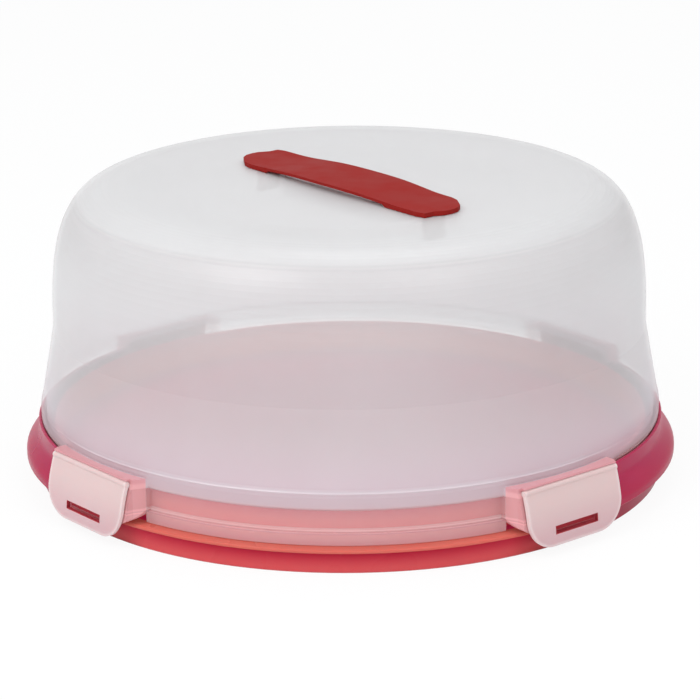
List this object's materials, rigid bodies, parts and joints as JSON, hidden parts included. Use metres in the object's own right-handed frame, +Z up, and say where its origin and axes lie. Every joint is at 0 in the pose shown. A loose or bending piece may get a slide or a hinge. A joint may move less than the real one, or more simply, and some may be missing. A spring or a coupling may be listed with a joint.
{
  "type": "cake carrier",
  "caption": "Round cake carrier: low serving plate with grip ears, frosted lift-off dome lid held by swinging side clips, and a pull-up strap handle.",
  "frame": {"origin": "centre of the plate's bottom edge, on the surface it stands on", "axes": "+Z up, -Y front, +X right; the grip ears are at +X and -X, the clips on the diagonals"},
  "size_m": [0.3534, 0.345, 0.1601],
  "materials": {
    "plate_red": "glossy, slightly see-through at its edges",
    "frosted_lid": "frosted, see-through",
    "clip_frost": "frosted, milky",
    "handle_red": "satin"
  },
  "bodies": {
    "plate": {"base_plate": "plate_red"},
    "hood": {"lid_hood": "frosted_lid"},
    "clip_front_right": {"clip_front_right": "clip_frost"},
    "clip_front_left": {"clip_front_left": "clip_frost"},
    "clip_rear_right": {"clip_rear_right": "clip_frost"},
    "clip_rear_left": {"clip_rear_left": "clip_frost"},
    "handle": {"carry_handle": "handle_red"}
  },
  "joints": [
    {"name": "lid_lift", "type": "slide", "parent": "plate", "child": "hood", "axis": [0, 0, 1], "range_m": [0, 0.2]},
    {"name": "clip_front_right_swing", "type": "hinge", "parent": "hood", "child": "clip_front_right", "pos_m": [0.12212, -0.12212, 0.035], "axis": [-0.7071, -0.7071, 0], "range_deg": [0, 110]},
    {"name": "clip_front_left_swing", "type": "hinge", "parent": "hood", "child": "clip_front_left", "pos_m": [-0.12212, -0.12212, 0.035], "axis": [-0.7071, 0.7071, 0], "range_deg": [0, 110]},
    {"name": "clip_rear_right_swing", "type": "hinge", "parent": "hood", "child": "clip_rear_right", "pos_m": [0.12212, 0.12212, 0.035], "axis": [0.7071, -0.7071, 0], "range_deg": [0, 110]},
    {"name": "clip_rear_left_swing", "type": "hinge", "parent": "hood", "child": "clip_rear_left", "pos_m": [-0.12212, 0.12212, 0.035], "axis": [0.7071, 0.7071, 0], "range_deg": [0, 110]},
    {"name": "handle_pull", "type": "slide", "parent": "hood", "child": "handle", "axis": [0, 0, 1], "range_m": [0, 0.01]}
  ]
}
